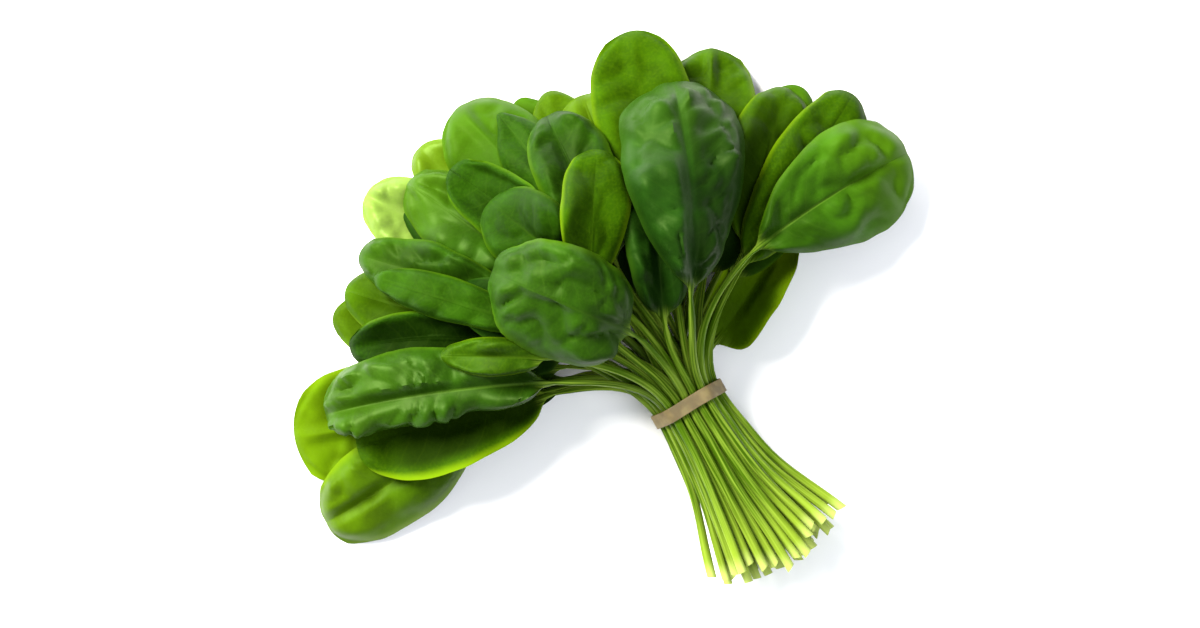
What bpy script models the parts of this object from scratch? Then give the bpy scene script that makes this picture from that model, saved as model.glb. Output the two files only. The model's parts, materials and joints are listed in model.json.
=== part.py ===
"""A tied bunch of flat-leaf spinach, lying on its side.

Every leaf is one closed solid, its petiole and blade grown together, and a flat rubber band
holds the petioles. The leaves are laid in the order in which they rest on each other, and each
is lifted just clear of the ones below it. Run it in Blender: it clears the scene and leaves one
object for each leaf and one for the band, under the empty "bunch".
"""

import math
import random
from collections import namedtuple

import bpy
import numpy as np
from mathutils.bvhtree import BVHTree

MM = 0.001  # the figures below are in millimetres and degrees

# Petioles: round stalks, thickest at the cut end.
RADIUS_CUT = 1.9
RADIUS_TIE = 1.85
RADIUS_NECK = 1.3
CUT_LENGTH = 80.0  # from the band to the cut ends, for those in the middle
CUT_SCATTER = 5.0
CUT_ROUND = 13.0  # how much shorter the outermost ones are
FLARE = 1.25  # how much wider the cut ends spread than the waist
CUT_LEAN = 2.5  # and how far the cut ends lean to the right
STRAIGHT_WAIST = 4.0  # the petioles run parallel this far on both sides of the band

# The waist: petioles lie in staggered rows, bottom to top.
ROW_COUNTS = (4, 5, 6, 7, 8, 7, 6, 5)
PITCH = 4.1
ROW_RISE = 3.56
LOWEST_AXIS = 3.42

# The band: a flat strip of rubber round the petioles.
BAND_WIDTH = 6.3
BAND_THICKNESS = 1.1
BAND_GAP = 0.35
BAND_SIDES = 44

# Blades: thin sheets on a tapering midrib.
BLADE_THICKNESS = 0.7
RIB_DEPTH_NECK = 1.5
RIB_DEPTH_TIP = 0.25
ALONG = (0.0, 0.08, 0.21, 0.37, 0.54, 0.70, 0.84, 0.95, 1.0)
ACROSS = (-1.0, -0.5, 0.0, 0.5, 1.0)
SIDES = 10  # points round every section: five on the upper face, five on the lower
COLUMN = (0, 1, 2, 3, 4, 4, 3, 2, 1, 0)  # which of the five columns each of them stands in
TIP_ARC = 0.05  # how far back the last points of the edges lie, as a share of the length
NECK_RINGS = 5
WAVES_PER_EDGE = 1.6

# The heap: leaves follow a low mound, the upper rows higher on it.
MOUND_RIM = 18.0
MOUND_RISE = 36.0
MOUND_CENTRE_Y = 62.0
MOUND_SPREAD_X = 92.0
MOUND_SPREAD_Y = 60.0

# Settling: a leaf is lifted until it clears those below it.
CELL = 0.8
GAP_WAIST = 0.25
GAP_CROWN = 1.0
GAP_GROWS = (8.0, 45.0)
SETTLE_FROM_Y = 6.0
SETTLE_PASSES = 40
NUDGE = 0.2  # a leaf that still touches another is raised by this much at a time
FLAT_SPOT = 0.8  # undersides lower than this are pressed flat on the table
MAP_LOW = (-175.0, -5.0)
MAP_SIZE = (340.0, 190.0)

SEED = 11

Leaf = namedtuple("Leaf", "name base tip width bow cup roll arch curl widest point tone")

# Each leaf, lowest first. base and tip are where its blade starts and ends in plan, measured from
# the band, with +Y towards the crown. bow bends the blade to its left, cup lifts (+) or drops (-)
# both halves of the blade, roll lifts its right half, arch humps it and curl lifts its tip. widest
# is how far along the blade it is at its widest, and point is 0.5 for a round tip, more for a
# pointed one.
LEAVES = (
    Leaf("floor_left", (-42, 36), (-128, 60), 22, 2, 6, 0, 2, 0, 0.50, 0.50, "deep"),
    Leaf("floor_back_left", (-26, 52), (-90, 116), 34, 0, 5, 0, 2, 0, 0.55, 0.50, "deep"),
    Leaf("floor_back_right", (32, 52), (84, 102), 34, 0, 5, 0, 2, 0, 0.55, 0.50, "deep"),
    Leaf("floor_right", (38, 38), (112, 58), 28, 0, 6, 0, 2, 0, 0.55, 0.50, "mid"),
    Leaf("under_low_left", (-66, 40), (-158, 73), 56, 0, 6, 0, 3, 0, 0.62, 0.38, "bright"),
    Leaf("low_right", (23, 17), (75, 46), 36, -2, 30, 8, 0, 2, 0.50, 0.40, "bright"),
    Leaf("under_back_right", (30, 48), (74, 112), 34, 0, 8, 0, 3, 0, 0.55, 0.50, "mid"),
    Leaf("under_top", (4, 62), (6, 135), 34, 0, 6, 0, 3, 0, 0.55, 0.50, "mid"),
    Leaf("under_top_left", (-15, 60), (-58, 132), 36, 0, 6, 0, 3, 0, 0.55, 0.50, "mid"),
    Leaf("pale", (-38, 90), (-77, 150), 36, 0, 10, -6, 2, 2, 0.60, 0.45, "pale"),
    Leaf("under_left", (-41, 42), (-122, 78), 32, 0, 8, 0, 3, 0, 0.55, 0.50, "mid"),
    Leaf("under_right", (44, 38), (102, 68), 30, 0, 8, 0, 3, 0, 0.55, 0.50, "mid"),
    Leaf("sliver_top", (4, 82), (2, 153), 30, 0, 10, 0, 3, 0, 0.55, 0.60, "mid"),
    Leaf("rim_top", (56, 54), (112, 96), 32, 0, 12, 8, 3, 0, 0.55, 0.50, "mid"),
    Leaf("low_corner", (-83, 41), (-165, 34), 42, 2, -10, 4, 4, -3, 0.62, 0.38, "bright"),
    Leaf("low_big", (-52, 34), (-135, 56), 47, 1, 30, 0, 2, 2, 0.62, 0.42, "bright"),
    Leaf("small_left", (-60, 61), (-116, 111), 32, 0, 8, 0, 3, 0, 0.58, 0.50, "bright"),
    Leaf("right_back", (41, 56), (87, 130), 42, 0, -10, 0, 4, -2, 0.66, 0.38, "bright"),
    Leaf("left_back", (-25, 88), (-46, 156), 34, 0, 8, 0, 3, 0, 0.58, 0.50, "bright"),
    Leaf("top_small", (8, 80), (14, 149), 30, 0, 8, 0, 4, 0, 0.58, 0.50, "bright"),
    Leaf("top_back", (15, 74), (27, 140), 38, 0, -8, 0, 4, 0, 0.58, 0.50, "bright"),
    Leaf("round_light", (-4, 82), (-23, 163), 48, 0, -16, -4, 5, -3, 0.58, 0.42, "mid"),
    Leaf("side_left", (-56, 67), (-105, 118), 34, 0, -10, 0, 3, -2, 0.58, 0.50, "bright"),
    Leaf("fill_right", (34, 46), (88, 84), 30, 0, 8, 0, 3, 0, 0.50, 0.50, "deep"),
    Leaf("fill_left", (-34, 46), (-98, 92), 32, 0, 8, 0, 3, 0, 0.50, 0.50, "deep"),
    Leaf("fill_top", (0, 60), (2, 126), 32, 0, 8, 0, 3, 0, 0.50, 0.50, "deep"),
    Leaf("dark_point", (-33, 72), (-66, 134), 28, 0, -14, 0, 3, 0, 0.50, 0.80, "deep"),
    Leaf("right_back_low", (55, 48), (106, 99), 36, 0, -12, 0, 4, -2, 0.58, 0.50, "bright"),
    Leaf("point_top", (2, 82), (-9, 151), 32, 0, -14, 0, 4, 0, 0.48, 0.85, "mid"),
    Leaf("gray_left", (-29, 82), (-58, 145), 36, 0, -16, 0, 4, -2, 0.58, 0.42, "mid"),
    Leaf("heart", (0, 50), (-12, 100), 28, 0, 8, 0, 3, 0, 0.50, 0.50, "deep"),
    Leaf("arc_left", (-55, 63), (-116, 95), 34, -3, 30, 10, 2, 0, 0.55, 0.50, "mid"),
    Leaf("streak_left", (-42, 74), (-92, 128), 30, 0, -22, 6, 4, -2, 0.58, 0.50, "mid"),
    Leaf("top_bright", (26, 68), (60, 154), 45, 0, 8, 0, 5, 0, 0.62, 0.44, "bright"),
    Leaf("round_mid", (3, 70), (9, 139), 40, 0, 22, -6, 5, -3, 0.60, 0.42, "mid"),
    Leaf("cup_mid", (-10, 76), (-39, 140), 38, 0, 38, 0, 2, 2, 0.60, 0.45, "mid"),
    Leaf("right_mid", (51, 41), (130, 81), 36, 0, -12, 4, 5, -2, 0.60, 0.45, "bright"),
    Leaf("heart_right", (20, 48), (38, 98), 28, 0, 8, 0, 3, 0, 0.50, 0.50, "deep"),
    Leaf("fill_front", (-24, 46), (-64, 92), 30, 0, 6, 0, 3, 0, 0.50, 0.50, "deep"),
    Leaf("quilt_left", (-49, 39), (-140, 75), 41, -3, -30, 22, 8, -3, 0.62, 0.42, "mid"),
    Leaf("low_mid", (-8, 60), (-31, 119), 38, 0, -20, 0, 5, -2, 0.60, 0.42, "mid"),
    Leaf("long_left", (-39, 61), (-91, 116), 21, 0, -24, 6, 5, -2, 0.55, 0.55, "mid"),
    Leaf("fold_right", (59, 44), (137, 47), 54, 2, -18, 0, 5, 0, 0.66, 0.44, "mid"),
    Leaf("dark_mid", (9, 38), (39, 104), 32, 0, 10, -12, 4, 0, 0.50, 0.60, "deep"),
    Leaf("bright_mid", (-13, 65), (20, 115), 32, 0, -18, 8, 5, -2, 0.62, 0.45, "bright"),
    Leaf("small_front", (-44, 49), (-82, 72), 18, 0, -20, 0, 4, -2, 0.50, 0.55, "bright"),
    Leaf("round_front", (-7, 40), (-45, 92), 55, 0, -26, 0, 7, -6, 0.50, 0.45, "mid"),
    Leaf("big_front", (25, 43), (64, 125), 60, -2, -26, -4, 7, -5, 0.66, 0.42, "deep"),
)

TONES = {
    "deep": (0.030, 0.105, 0.012),
    "mid": (0.070, 0.200, 0.020),
    "bright": (0.150, 0.330, 0.012),
    "pale": (0.330, 0.520, 0.080),
    "rubber": (0.420, 0.290, 0.160),
}


def smooth_step(x, low, high):
    t = min(1.0, max(0.0, (x - low) / (high - low)))
    return t * t * (3 - 2 * t)


def mound(x, y):
    """Height of the top of the heap over a point in plan."""
    away = (x / MOUND_SPREAD_X) ** 2 + ((y - MOUND_CENTRE_Y) / MOUND_SPREAD_Y) ** 2
    return MOUND_RIM + MOUND_RISE * math.exp(-away)


def seats():
    """Where each leaf's petiole crosses the band: its place (x, z) in the staggered rows.

    Within a row, the petioles stand in the order in which their blades fan out, left to right.
    """
    placed = {}
    first = 0
    for row, count in enumerate(ROW_COUNTS):
        members = LEAVES[first : first + count]
        first += count
        by_heading = sorted(members, key=lambda leaf: math.atan2(leaf.base[0], leaf.base[1]))
        for column, leaf in enumerate(by_heading):
            x = (column - (count - 1) / 2) * PITCH
            placed[leaf.name] = (x, LOWEST_AXIS + row * ROW_RISE)
    return placed


def hermite(p0, p1, d0, d1, t):
    h1 = t * t * (3 - 2 * t)
    return (1 - h1) * p0 + h1 * p1 + (t - 2 * t * t + t**3) * d0 + (t**3 - t * t) * d1


def petiole_rings(leaf, seat, share, heading, draw):
    """(centre, radius) from the cut end to just short of the blade. share is the leaf's height in
    the heap, from 0 at the table to 1 at the top of the mound."""
    x, z = seat
    aside = 2 * x / (PITCH * max(ROW_COUNTS))
    cut_y = -CUT_LENGTH + CUT_ROUND * aside**2 + draw.uniform(-CUT_SCATTER, CUT_SCATTER)
    lowest_cut = RADIUS_CUT + 0.05
    cut_z = lowest_cut + (z - LOWEST_AXIS) * 0.98
    cut_x = x * (1 + FLARE) + CUT_LEAN + draw.uniform(-0.8, 0.8)
    rings = [
        (np.array([cut_x, cut_y, cut_z]), RADIUS_CUT),
        (np.array([x + (cut_x - x) * 0.25, cut_y * 0.5, (z + cut_z) / 2]), RADIUS_CUT),
        (np.array([x, -STRAIGHT_WAIST, z]), RADIUS_TIE),
        (np.array([x, STRAIGHT_WAIST, z]), RADIUS_TIE),
    ]
    start = np.array([x, STRAIGHT_WAIST])
    neck = np.array(leaf.base, float)
    reach = np.linalg.norm(neck - start)
    leave = np.array([x * 0.012, 1.0]) * reach
    arrive = heading * reach
    for i in range(1, NECK_RINGS + 1):
        t = i / NECK_RINGS
        plan = hermite(start, neck, leave, arrive, t)
        radius = RADIUS_TIE + (RADIUS_NECK - RADIUS_TIE) * t
        rings.append((np.array([plan[0], plan[1], share * mound(*plan)]), radius))
    return rings


def round_section(centre, radius, forward):
    """Ten points round a petiole: five over the top from left to right, then five back under."""
    right = np.cross(forward, (0, 0, 1))
    right /= np.linalg.norm(right)
    up = np.cross(right, forward)
    angles = [math.radians(162 - 36 * i) for i in range(SIDES)]
    return [centre + radius * (math.cos(a) * right + math.sin(a) * up) for a in angles]


def outline(leaf, t):
    """The blade's width at a fraction of its length, as a share of its greatest width. Near the
    tip it is the width where the edges end, which lie further back than the midrib."""
    t = t - TIP_ARC * t**8
    rise = leaf.point * leaf.widest / (1 - leaf.widest)
    return (t / leaf.widest) ** rise * ((1 - t) / (1 - leaf.widest)) ** leaf.point


def blade_grid(leaf, share, heading, draw):
    """The blade's middle surface: a row of five points across it for each station along it."""
    base = np.array(leaf.base, float)
    tip = np.array(leaf.tip, float)
    length = np.linalg.norm(tip - base)
    left = np.array([-heading[1], heading[0]])
    phase = [draw.uniform(0, 2 * math.pi) for _ in ACROSS]
    ripple = 0.035 * leaf.width * draw.uniform(0.7, 1.3)
    grid = []
    for t in ALONG[1:]:
        hump = 4 * t * (1 - t)
        middle = base + (tip - base) * t + left * leaf.bow * hump
        slope = heading + left * leaf.bow * (4 - 8 * t) / length
        slope /= np.linalg.norm(slope)
        right = np.array([slope[1], -slope[0]])
        rise = share * mound(*middle) + leaf.arch * hump + leaf.curl * t * t
        half = leaf.width / 2 * outline(leaf, t)
        ease = smooth_step(t, 0.0, 0.32)
        row = []
        for k, s in enumerate(ACROSS):
            side = math.copysign(1, s)
            inner = math.radians((leaf.cup + side * leaf.roll) * 0.65) * ease
            outer = math.radians((leaf.cup + side * leaf.roll) * 1.35) * ease
            out = half * min(abs(s), 0.5) * math.cos(inner)
            lift = half * min(abs(s), 0.5) * math.sin(inner)
            if abs(s) > 0.5:
                out += half * 0.5 * math.cos(outer)
                lift += half * 0.5 * math.sin(outer)
            wave = ripple * abs(s) ** 1.5 * math.sin(2 * math.pi * WAVES_PER_EDGE * t + phase[k])
            plan = middle + right * side * out - slope * length * TIP_ARC * s * s * t**8
            row.append(np.array([plan[0], plan[1], rise + lift + wave * ease]))
        grid.append(row)
    return np.array(grid)


def blade_sections(grid):
    """Gives the blade its thickness and its midrib: ten points for each station."""
    along = np.gradient(grid, axis=0)
    across = np.gradient(grid, axis=1)
    normal = np.cross(across, along)
    normal /= np.linalg.norm(normal, axis=2, keepdims=True)
    sections = []
    for i, t in enumerate(ALONG[1:]):
        rib = RIB_DEPTH_NECK + (RIB_DEPTH_TIP - RIB_DEPTH_NECK) * t
        upper = grid[i] + normal[i] * BLADE_THICKNESS / 2
        lower = grid[i] - normal[i] * BLADE_THICKNESS / 2
        lower[2] -= normal[i][2] * rib
        sections.append(list(upper) + list(lower[::-1]))
    return sections


def leaf_sections(leaf, seat, share, draw):
    """All sections of a leaf, from its cut end to its tip, as an array (stations, 10, 3), and
    the number of them that are petiole."""
    base = np.array(leaf.base, float)
    heading = np.array(leaf.tip, float) - base
    length = np.linalg.norm(heading)
    heading /= length
    left = np.array([-heading[1], heading[0]])
    first_slope = heading + left * leaf.bow * 4 / length
    first_slope /= np.linalg.norm(first_slope)
    stalk = petiole_rings(leaf, seat, share, first_slope, draw)
    grid = blade_grid(leaf, share, heading, draw)
    line = [centre for centre, _ in stalk] + [grid[0][2]]
    sections = []
    for i, (centre, radius) in enumerate(stalk):
        before = line[max(0, i - 1)]
        forward = line[i + 1] - before
        sections.append(round_section(centre, radius, forward / np.linalg.norm(forward)))
    return np.array(sections + blade_sections(grid)), len(stalk)


def loft_faces(stations):
    """Triangles of the closed skin over the sections, split alike on both faces of the blade."""
    half = SIDES // 2
    faces = []
    for i in range(stations - 1):
        a, b = i * SIDES, (i + 1) * SIDES
        for j in range(SIDES):
            k = (j + 1) % SIDES
            if j < half:
                faces += [(a + j, a + k, b + k), (a + j, b + k, b + j)]
            else:
                faces += [(a + j, a + k, b + j), (a + k, b + k, b + j)]
    last = (stations - 1) * SIDES
    for j in range(half - 1):
        # The caps are strips from the upper points to the lower ones.
        p, q, r, s = j, j + 1, SIDES - 2 - j, SIDES - 1 - j
        faces += [(p, s, q), (q, s, r)]
        faces += [(last + p, last + q, last + s), (last + q, last + r, last + s)]
    return np.array(faces)


class HeightMap:
    """The top of what is already laid down, cell by cell, seen from above."""

    def __init__(self):
        self.shape = tuple(int(round(size / CELL)) for size in MAP_SIZE)
        self.top = np.zeros(self.shape)
        self.gap = np.zeros(self.shape)

    def cells(self, corners):
        """(column, row, weights, height) of the cell centres inside a triangle in plan."""
        low = np.array(MAP_LOW)
        plan = (corners[:, :2] - low) / CELL - 0.5
        first = np.maximum(np.ceil(plan.min(0) - 1e-6), 0).astype(int)
        last = np.minimum(np.floor(plan.max(0) + 1e-6), np.array(self.shape) - 1).astype(int)
        if (last < first).any():
            return None
        i, j = np.meshgrid(
            np.arange(first[0], last[0] + 1), np.arange(first[1], last[1] + 1), indexing="ij"
        )
        a, b, c = plan
        area = (b[0] - a[0]) * (c[1] - a[1]) - (b[1] - a[1]) * (c[0] - a[0])
        if abs(area) < 1e-9:
            return None
        wb = ((i - a[0]) * (c[1] - a[1]) - (j - a[1]) * (c[0] - a[0])) / area
        wc = ((b[0] - a[0]) * (j - a[1]) - (b[1] - a[1]) * (i - a[0])) / area
        wa = 1 - wb - wc
        inside = (wa >= -1e-6) & (wb >= -1e-6) & (wc >= -1e-6)
        if not inside.any():
            return None
        weights = np.stack([wa[inside], wb[inside], wc[inside]], axis=1)
        return i[inside], j[inside], weights, weights @ corners[:, 2]

    def add(self, points, faces):
        """Lays a piece down. Around it the map also rises, so that the next piece stays clear of
        its sides, except near the waist, where the petioles lie close together."""
        laid = np.full(self.shape, -np.inf)
        for face in faces:
            found = self.cells(points[face])
            if found is not None:
                i, j, _, height = found
                np.maximum.at(laid, (i, j), height)
        y = MAP_LOW[1] + (np.arange(self.shape[1]) + 0.5) * CELL
        open_rows = y > GAP_GROWS[1]
        wide = laid.copy()
        for di in (-1, 0, 1):
            for dj in (-1, 0, 1):
                wide = np.maximum(wide, np.roll(laid, (di, dj), axis=(0, 1)))
        laid[:, open_rows] = wide[:, open_rows]
        gap = np.array([GAP_WAIST + (GAP_CROWN - GAP_WAIST) * smooth_step(v, *GAP_GROWS) for v in y])
        higher = laid > self.top
        self.top[higher] = laid[higher]
        self.gap = np.where(higher, gap[None, :], self.gap)


def settle(sections, stalk_count, faces, heap):
    """Lifts a leaf's sections, column by column, until nothing below it is touched."""
    lift = np.zeros((len(sections), len(ACROSS)))
    may_lift = (sections[:, :, 1].mean(axis=1) > SETTLE_FROM_Y)[:, None]
    for _ in range(SETTLE_PASSES):
        points = sections.copy()
        points[:, :, 2] += lift[:, COLUMN]
        flat = points.reshape(-1, 3)
        needed = np.zeros_like(lift)
        for face in faces:
            corners = flat[face]
            if corners[:, 1].min() < SETTLE_FROM_Y:
                continue
            found = heap.cells(corners)
            if found is None:
                continue
            i, j, weights, height = found
            short = heap.top[i, j] + heap.gap[i, j] - height
            if short.max() <= 1e-4:
                continue
            for corner, vertex in enumerate(face):
                station, place = divmod(int(vertex), SIDES)
                pull = (short * (weights[:, corner] > 0.12)).max()
                where = (station, COLUMN[place])
                needed[where] = max(needed[where], pull)
        if needed.max() <= 1e-4:
            break
        lift = eased_lift(lift + needed * 0.85 + 0.02 * (needed > 0), stalk_count) * may_lift
    sections[:, :, 2] += lift[:, COLUMN]
    return sections


def eased_lift(lift, stalk_count):
    """Spreads a lift to the neighbouring columns and stations, so that it bends the leaf gently.
    A petiole is lifted whole."""
    lift[:stalk_count] = lift[:stalk_count].max(axis=1, keepdims=True)
    for _ in range(2):
        eased = lift.copy()
        eased[1:-1] = 0.25 * lift[:-2] + 0.5 * lift[1:-1] + 0.25 * lift[2:]
        eased[:, 1:-1] = 0.25 * eased[:, :-2] + 0.5 * eased[:, 1:-1] + 0.25 * eased[:, 2:]
        lift = np.maximum(lift, eased)
    return lift


def nudge_clear(sections, stalk_count, faces, laid):
    """Raises the leaf where its skin still cuts through one that is already laid."""
    triangles = [tuple(map(int, face)) for face in faces]
    for _ in range(SETTLE_PASSES):
        flat = sections.reshape(-1, 3)
        own = BVHTree.FromPolygons([tuple(p) for p in flat], triangles)
        needed = np.zeros((len(sections), len(ACROSS)))
        for other in laid:
            for first, _ in own.overlap(other):
                for vertex in triangles[first]:
                    station, place = divmod(vertex, SIDES)
                    needed[station, COLUMN[place]] = NUDGE
        needed[sections[:, :, 1].mean(axis=1) < SETTLE_FROM_Y] = 0
        if not needed.any():
            break
        sections[:, :, 2] += eased_lift(needed, stalk_count)[:, COLUMN]
    return sections


def material(name, colour, roughness):
    made = bpy.data.materials.new(name)
    made.use_nodes = True
    shader = made.node_tree.nodes["Principled BSDF"]
    shader.inputs["Base Color"].default_value = (*colour, 1.0)
    shader.inputs["Roughness"].default_value = roughness
    made.diffuse_color = (*colour, 1.0)
    return made


def add_object(name, points, faces, finish, parent):
    mesh = bpy.data.meshes.new(name)
    mesh.from_pydata([tuple(p * MM) for p in points], [], [tuple(map(int, f)) for f in faces])
    mesh.materials.append(finish)
    mesh.update()
    mesh.shade_smooth()
    mesh.set_sharp_from_angle(angle=math.radians(50))
    made = bpy.data.objects.new(name, mesh)
    made.parent = parent
    bpy.context.scene.collection.objects.link(made)
    return made


def hull(points):
    """The corners of the convex outline of points in a plane, anticlockwise."""
    points = sorted(map(tuple, points))

    def chain(run):
        kept = []
        for p in run:
            while len(kept) > 1:
                (ax, ay), (bx, by) = kept[-2], kept[-1]
                if (bx - ax) * (p[1] - ay) - (by - ay) * (p[0] - ax) > 0:
                    break
                kept.pop()
            kept.append(p)
        return kept[:-1]

    return np.array(chain(points) + chain(points[::-1]))


def stretched_loop(placed, clearance):
    """Points evenly spaced round the taut loop that stays this far from the petioles' axes."""
    angles = np.linspace(0, 2 * math.pi, 24, endpoint=False)
    ring = np.stack([np.cos(angles), np.sin(angles)], axis=1) * clearance / math.cos(math.pi / 24)
    corners = hull(np.concatenate([np.array(seat) + ring for seat in placed.values()]))
    closed = np.vstack([corners, corners[:1]])
    run = np.concatenate([[0], np.cumsum(np.linalg.norm(np.diff(closed, axis=0), axis=1))])
    at = np.linspace(0, run[-1], BAND_SIDES, endpoint=False)
    return np.stack([np.interp(at, run, closed[:, k]) for k in range(2)], axis=1)


def add_band(placed, finish, parent):
    inner = stretched_loop(placed, RADIUS_TIE + BAND_GAP + 0.12)
    ahead = np.roll(inner, -1, axis=0) - np.roll(inner, 1, axis=0)
    out = np.stack([ahead[:, 1], -ahead[:, 0]], axis=1)
    out /= np.linalg.norm(out, axis=1, keepdims=True)
    outer = inner + out * BAND_THICKNESS
    half = BAND_WIDTH / 2
    points = []
    for i in range(BAND_SIDES):
        for loop, y in ((inner, -half), (outer, -half), (outer, half), (inner, half)):
            points.append(np.array([loop[i][0], y, loop[i][1]]))
    faces = []
    for i in range(BAND_SIDES):
        a, b = 4 * i, 4 * ((i + 1) % BAND_SIDES)
        for j in range(4):
            k = (j + 1) % 4
            faces += [(a + j, a + k, b + k), (a + j, b + k, b + j)]
    add_object("rubber_band", points, faces, finish, parent)
    return np.array(points)


def main():
    for old in list(bpy.data.objects):
        bpy.data.objects.remove(old)
    draw = random.Random(SEED)
    finishes = {
        tone: material(tone, colour, 0.8 if tone == "rubber" else 0.45)
        for tone, colour in TONES.items()
    }
    bunch = bpy.data.objects.new("bunch", None)
    bpy.context.scene.collection.objects.link(bunch)

    placed = seats()
    heap = HeightMap()
    laid = []
    extents = []
    for leaf in LEAVES:
        seat = placed[leaf.name]
        share = seat[1] / mound(0.0, 0.0)
        sections, stalk_count = leaf_sections(leaf, seat, share, draw)
        faces = loft_faces(len(sections))
        sections = settle(sections, stalk_count, faces, heap)
        sections = nudge_clear(sections, stalk_count, faces, laid)
        under = sections[:, SIDES // 2 :]
        under[:, :, 2][under[:, :, 2] < FLAT_SPOT] = 0.0
        points = sections.reshape(-1, 3)
        heap.add(points, faces)
        laid.append(BVHTree.FromPolygons([tuple(p) for p in points], [tuple(map(int, f)) for f in faces]))
        add_object(leaf.name, points, faces, finishes[leaf.tone], bunch)
        extents.append(points)
    extents.append(add_band(placed, finishes["rubber"], bunch))

    everything = np.concatenate(extents)
    low, high = everything.min(axis=0), everything.max(axis=0)
    middle = (low + high) / 2
    bunch.location = (-middle[0] * MM, -middle[1] * MM, -low[2] * MM)


if __name__ == "__main__":
    main()
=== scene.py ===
"""A tied bunch of flat-leaf spinach on a pale studio table.

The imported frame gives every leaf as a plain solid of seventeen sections. Each one is grown again
here as a fine leaf of the same form: a round petiole that runs out into the midrib, and a thin
quilted blade with its veins. The leaves are laid down in their order, lowest first, so that none
cuts into another. The rubber band is stretched round the petioles, and the stage is a table,
soft light and a camera straight above.
"""

import json
import math
from collections import namedtuple

import bpy
import numpy as np
from mathutils import Matrix, Vector

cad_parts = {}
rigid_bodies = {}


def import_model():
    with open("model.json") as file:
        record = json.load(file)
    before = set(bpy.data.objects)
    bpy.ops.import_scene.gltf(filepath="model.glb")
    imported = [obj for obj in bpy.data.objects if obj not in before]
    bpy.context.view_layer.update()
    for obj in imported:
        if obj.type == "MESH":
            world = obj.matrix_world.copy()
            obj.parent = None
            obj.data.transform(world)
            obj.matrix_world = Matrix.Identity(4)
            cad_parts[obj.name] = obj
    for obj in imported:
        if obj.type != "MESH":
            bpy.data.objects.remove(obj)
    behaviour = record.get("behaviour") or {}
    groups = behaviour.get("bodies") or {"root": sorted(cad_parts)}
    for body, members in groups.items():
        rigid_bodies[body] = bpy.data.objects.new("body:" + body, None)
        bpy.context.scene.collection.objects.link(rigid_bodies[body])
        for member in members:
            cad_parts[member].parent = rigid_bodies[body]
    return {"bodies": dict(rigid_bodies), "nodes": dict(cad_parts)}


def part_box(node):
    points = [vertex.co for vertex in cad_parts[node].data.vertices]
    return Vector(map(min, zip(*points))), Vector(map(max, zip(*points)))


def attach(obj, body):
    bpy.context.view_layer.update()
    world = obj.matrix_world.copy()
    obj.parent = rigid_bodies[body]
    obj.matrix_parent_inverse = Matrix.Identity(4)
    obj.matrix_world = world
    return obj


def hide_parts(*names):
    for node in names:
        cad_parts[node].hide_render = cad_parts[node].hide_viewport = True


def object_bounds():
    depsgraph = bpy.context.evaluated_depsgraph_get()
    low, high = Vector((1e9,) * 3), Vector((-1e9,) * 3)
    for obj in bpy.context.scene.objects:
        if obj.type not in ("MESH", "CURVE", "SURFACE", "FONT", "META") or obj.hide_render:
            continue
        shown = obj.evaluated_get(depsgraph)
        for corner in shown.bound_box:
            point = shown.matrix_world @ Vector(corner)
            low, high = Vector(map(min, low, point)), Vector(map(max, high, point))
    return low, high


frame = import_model()
CAD_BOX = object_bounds()

# The stage. Places of the lamps are in metres: to the right and up in the view, and in height.
CAMERA_TURN = 30  # degrees
AIM_LEFT, AIM_UP = 0.0387, 0.0391  # metres from the band to the middle of the view
LEAF_LEVEL = 0.04  # metres, the height at which the view's width is set
SENSOR = 36.0  # millimetres
LAMPS = (
    # name, right, up, height, size, share of the key light's power, colour
    ("Key lamp", -1.2, 1.0, 1.25, 1.2, 1.0, "#fffaf2"),
    ("Fill lamp", 0.9, -0.6, 1.6, 1.4, 0.12, "#f1f5ff"),
)

bl_info = {
    "name": "Spinach bunch",
    "version": (1, 0, 0),
    "blender": (4, 5, 0),
    "location": "View3D > Sidebar > Spinach",
    "description": "Grows the leaves, the rubber band and the studio round the packed bunch",
    "category": "Object",
}

MM = 0.001
BODY = next(iter(frame["bodies"]))
BAND_NODE = "rubber_band"

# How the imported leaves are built: seventeen sections of ten points, nine of them petiole.
SECTION_POINTS = 10
STALK_SECTIONS = 9
COLUMNS = np.array([-1.0, -0.5, 0.0, 0.5, 1.0])
RIB_COLUMNS = 4  # columns of fine points from the midrib's middle to its side
DENSER = 3  # times as many rows and columns are tried where a leaf is laid on another
MERGE = 0.004 * MM  # points closer than this are one
SEED = 23

# The leaves in the order in which they lie, lowest first, with their own looks. tone picks the
# finish and light runs from 0, its dull end, to 1, its fresh end; from 0.4 upwards, past 1 too,
# its tip gets painted light, as if lit through. The rest is in millimetres:
# quilt is how far the blade swells between its veins, wrinkle how far it buckles, rim how far its
# edge is rolled (down below 0), crease how sharply it is folded along the midrib and dome how far
# it is puffed up. crest raises a welt inside both rims, and fold is how far the blade stands higher
# left of a fold beside the midrib; a leaf with a fold also gets painted shade right of its midrib.
# The rest runs from about 0 to 1: rib is how plainly its midrib shows, edge how much painted light
# brightens its thin rim (and how much less painted shade darkens its base), sheen how waxy its skin
# is and deep how much painted shade darkens its middle. fine is for leaves that lie in full view.
# Leaves that others cover have only a name and a tone.
Leaf = namedtuple(
    "Leaf",
    "name tone light quilt wrinkle rim crease dome crest fold rib edge sheen deep fine",
    defaults=(0.3, 0.2, 0.3, 0, 0, 0, 0, 0, 0.3, 0.3, 0.2, 0.3, False),
)
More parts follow.
